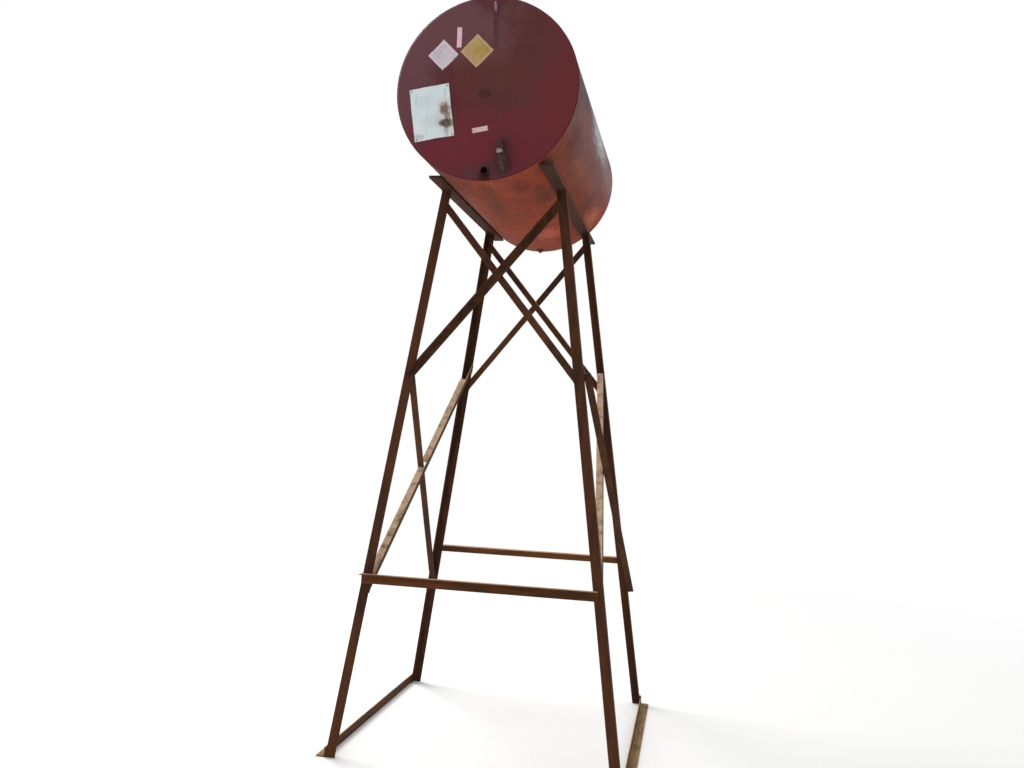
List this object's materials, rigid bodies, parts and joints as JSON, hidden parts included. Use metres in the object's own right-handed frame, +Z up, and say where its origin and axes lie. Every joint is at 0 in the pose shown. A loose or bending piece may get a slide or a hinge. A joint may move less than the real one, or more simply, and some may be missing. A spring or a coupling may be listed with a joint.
{
  "type": "elevated horizontal storage tank",
  "caption": "Horizontal steel storage tank with flat heads, lying on two rails at the top of a tall four-legged braced stand of rusty angle iron.",
  "frame": {"origin": "on the floor, under the middle of the part's overall box", "axes": "+Z is up; the head with the outlet faces -Y; the tank's axis lies along Y; +X is to the right when looking at the outlet head"},
  "size_m": [1.632, 2.007, 3.9015],
  "materials": {
    "stand_steel": "dull brown rusted mill steel",
    "shell_paint": "faded and chalky orange-red paint with rust patches",
    "head_paint": "dull dark maroon paint",
    "galvanised_steel": "dull weathered zinc",
    "valve_brass": "tarnished",
    "lever_steel": "dull, partly rusted",
    "placard_white": "weathered matt white",
    "label_ochre": "faded matt film",
    "label_grey": "faded matt film"
  },
  "bodies": {
    "root": {"left_skid": "stand_steel", "right_skid": "stand_steel", "front_left_leg": "stand_steel", "front_right_leg": "stand_steel", "back_left_leg": "stand_steel", "back_right_leg": "stand_steel", "front_crossbar": "stand_steel", "back_crossbar": "stand_steel", "front_outer_brace": "stand_steel", "front_inner_brace": "stand_steel", "back_outer_brace": "stand_steel", "back_inner_brace": "stand_steel", "left_front_brace": "stand_steel", "left_back_brace": "stand_steel", "right_front_brace": "stand_steel", "right_back_brace": "stand_steel", "left_rail": "stand_steel", "right_rail": "stand_steel", "tank_shell": "shell_paint", "front_head": "head_paint", "back_head": "shell_paint", "outlet_coupling": "head_paint", "outlet_elbow": "head_paint", "outlet_nipple": "galvanised_steel", "outlet_valve": "valve_brass", "valve_stem": "valve_brass", "valve_lever": "lever_steel", "drain_coupling": "head_paint", "lifting_lug": "galvanised_steel", "belly_plug": "shell_paint", "fill_socket": "shell_paint", "fill_cap": "galvanised_steel", "vent_socket": "shell_paint", "vent_cap": "galvanised_steel"}
  },
  "joints": []
}
